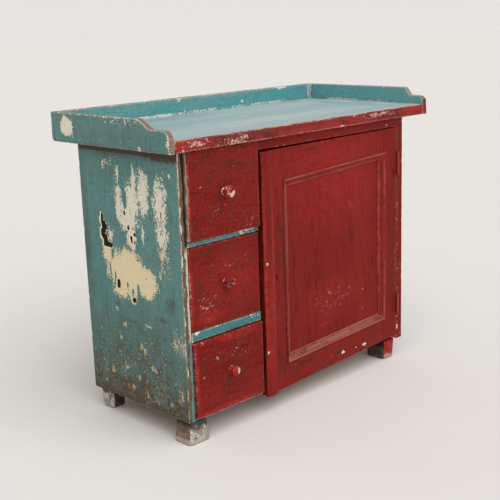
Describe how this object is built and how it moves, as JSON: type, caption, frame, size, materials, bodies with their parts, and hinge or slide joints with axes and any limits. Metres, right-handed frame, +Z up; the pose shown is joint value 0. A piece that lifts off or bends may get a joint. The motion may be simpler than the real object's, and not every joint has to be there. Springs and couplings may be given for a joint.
{
  "type": "sideboard",
  "caption": "Painted pine sideboard with a galleried, overhanging top, a stack of drawers on the left and a framed panel door on the right, standing on block feet.",
  "frame": {"origin": "on the floor, under the middle of the whole piece", "axes": "+X along the length towards the door, -Y out of the front, +Z up"},
  "size_m": [1.057, 0.511, 0.859],
  "materials": {
    "teal_paint": "old blue-green paint over pine, worn at the edges and flaked to cream",
    "red_paint": "old deep red paint over pine, chipped at the edges",
    "worn_top_paint": "pale grey-blue paint, scrubbed thin",
    "bare_pine": "unpainted pine, aged",
    "worn_foot": "scuffed grey, paint mostly lost",
    "hinge_iron": "dark iron, painted over in part",
    "lock_brass": "dull brass"
  },
  "bodies": {
    "carcass": {"left_side_panel": "teal_paint", "right_side_panel": "red_paint", "bottom_board": "bare_pine", "centre_partition": "bare_pine", "back_plank_1": "bare_pine", "back_plank_2": "bare_pine", "back_plank_3": "bare_pine", "frieze_rail": "red_paint", "bottom_rail": "teal_paint", "drawer_rail_lower": "teal_paint", "drawer_rail_upper": "teal_paint", "runner_lower_left": "bare_pine", "runner_lower_right": "bare_pine", "runner_upper_left": "bare_pine", "runner_upper_right": "bare_pine", "foot_front_left": "worn_foot", "foot_back_left": "worn_foot", "foot_front_right": "worn_foot", "foot_back_right": "worn_foot", "top_board": "worn_top_paint", "gallery_back": "teal_paint", "gallery_left": "teal_paint", "gallery_right": "red_paint", "shelf": "bare_pine", "shelf_cleat_left": "bare_pine", "shelf_cleat_right": "bare_pine", "hinge_lower_fixed_leaf": "hinge_iron", "hinge_upper_fixed_leaf": "hinge_iron"},
    "drawer_top": {"drawer_top_front": "red_paint", "drawer_top_side_left": "bare_pine", "drawer_top_side_right": "bare_pine", "drawer_top_back": "bare_pine", "drawer_top_bottom": "bare_pine", "drawer_top_knob": "red_paint"},
    "drawer_middle": {"drawer_middle_front": "red_paint", "drawer_middle_side_left": "bare_pine", "drawer_middle_side_right": "bare_pine", "drawer_middle_back": "bare_pine", "drawer_middle_bottom": "bare_pine", "drawer_middle_knob": "red_paint"},
    "drawer_bottom": {"drawer_bottom_front": "red_paint", "drawer_bottom_side_left": "bare_pine", "drawer_bottom_side_right": "bare_pine", "drawer_bottom_back": "bare_pine", "drawer_bottom_bottom": "bare_pine", "drawer_bottom_knob": "red_paint"},
    "door": {"door_lock_stile": "red_paint", "door_hinge_stile": "red_paint", "door_top_rail": "red_paint", "door_bottom_rail": "red_paint", "door_panel": "red_paint", "door_moulding_top": "red_paint", "door_moulding_bottom": "red_paint", "door_moulding_left": "red_paint", "door_moulding_right": "red_paint", "door_cover_strip": "red_paint", "hinge_lower_door_leaf": "hinge_iron", "hinge_upper_door_leaf": "hinge_iron", "lock_case": "hinge_iron"},
    "lock_bolt": {"lock_bolt": "lock_brass"}
  },
  "joints": [
    {"name": "drawer_top_slide", "type": "slide", "parent": "carcass", "child": "drawer_top", "axis": [0, -1, 0], "range_m": [0, 0.28]},
    {"name": "drawer_middle_slide", "type": "slide", "parent": "carcass", "child": "drawer_middle", "axis": [0, -1, 0], "range_m": [0, 0.28]},
    {"name": "drawer_bottom_slide", "type": "slide", "parent": "carcass", "child": "drawer_bottom", "axis": [0, -1, 0], "range_m": [0, 0.28]},
    {"name": "door_hinge", "type": "hinge", "parent": "carcass", "child": "door", "pos_m": [0.40265, -0.224, 0.062], "axis": [0, 0, 1], "range_deg": [0, 165]},
    {"name": "lock_bolt_slide", "type": "slide", "parent": "door", "child": "lock_bolt", "axis": [-1, 0, 0], "range_m": [0, 0.013]}
  ]
}
